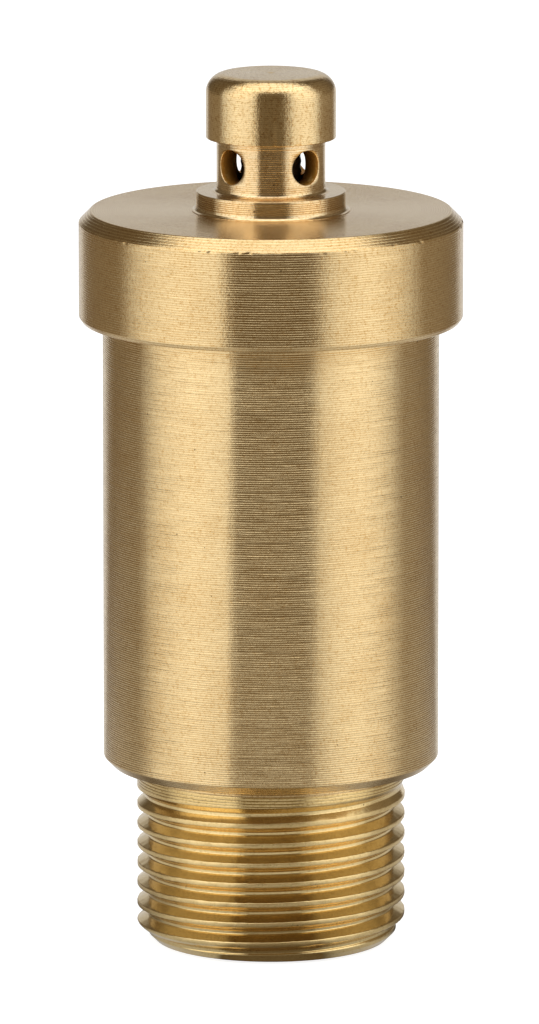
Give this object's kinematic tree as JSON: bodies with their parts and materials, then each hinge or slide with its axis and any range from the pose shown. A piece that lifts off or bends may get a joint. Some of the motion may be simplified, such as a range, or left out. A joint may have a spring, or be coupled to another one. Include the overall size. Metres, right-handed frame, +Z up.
{
  "type": "automatic air vent",
  "caption": "Turned brass float air vent with a male pipe thread, a screwed cover and a ported turret under a screw-down cap.",
  "frame": {"origin": "centre of the pipe thread's end face, on the body's axis", "axes": "+Z up along the body's axis, towards the vent cap; the lever swings in the X-Z plane, its float link on the +X side"},
  "size_m": [0.038, 0.038, 0.0872],
  "materials": {
    "turned_brass": "satin, fine-turned",
    "turret_brass": "satin, fine-turned",
    "stainless": "stamped and tumbled",
    "epdm": "matte",
    "float_plastic": "moulded, matte"
  },
  "bodies": {
    "vent_body": {"body": "turned_brass", "cover": "turned_brass", "cover_gasket": "epdm", "turret": "turret_brass", "turret_o_ring": "epdm", "turret_nut": "turret_brass", "lever_bracket": "stainless", "pivot_pin": "stainless", "pivot_clip": "stainless", "valve_spring": "stainless", "float_rest": "float_plastic"},
    "float": {"float_shell": "float_plastic", "float_lid": "float_plastic", "float_link": "stainless", "link_rivet": "stainless", "link_pin": "stainless"},
    "lever": {"lever": "stainless"},
    "valve": {"valve_carrier": "turret_brass", "valve_pad": "epdm", "carrier_pin": "stainless"},
    "spindle_tip": {"spindle_tip": "epdm"},
    "vent_cap": {"vent_cap": "turned_brass"}
  },
  "joints": [
    {"name": "float_slide", "type": "slide", "parent": "vent_body", "child": "float", "axis": [0, 0, 1], "range_m": [0, 0.005]},
    {"name": "lever_swing", "type": "hinge", "parent": "vent_body", "child": "lever", "pos_m": [-0.005, 0, 0.06151], "axis": [0, -1, 0], "range_deg": [0, 20.26]},
    {"name": "valve_slide", "type": "slide", "parent": "vent_body", "child": "valve", "axis": [0, 0, 1], "range_m": [0, 0.00179], "deforming": ["valve_spring"]},
    {"name": "cap_lift", "type": "slide", "parent": "vent_body", "child": "spindle_tip", "axis": [0, 0, 1], "range_m": [0, 0.0015]},
    {"name": "cap_turn", "type": "hinge", "parent": "spindle_tip", "child": "vent_cap", "pos_m": [0, 0, 0.084], "axis": [0, 0, 1], "range_deg": [0, 540]}
  ],
  "couplings": [
    {"joint": "lever_swing", "follows": "float_slide", "rad_per_m": 70.683},
    {"joint": "valve_slide", "follows": "float_slide", "ratio": 0.35714},
    {"joint": "cap_lift", "follows": "cap_turn", "m_per_rad": 0.00015915}
  ]
}
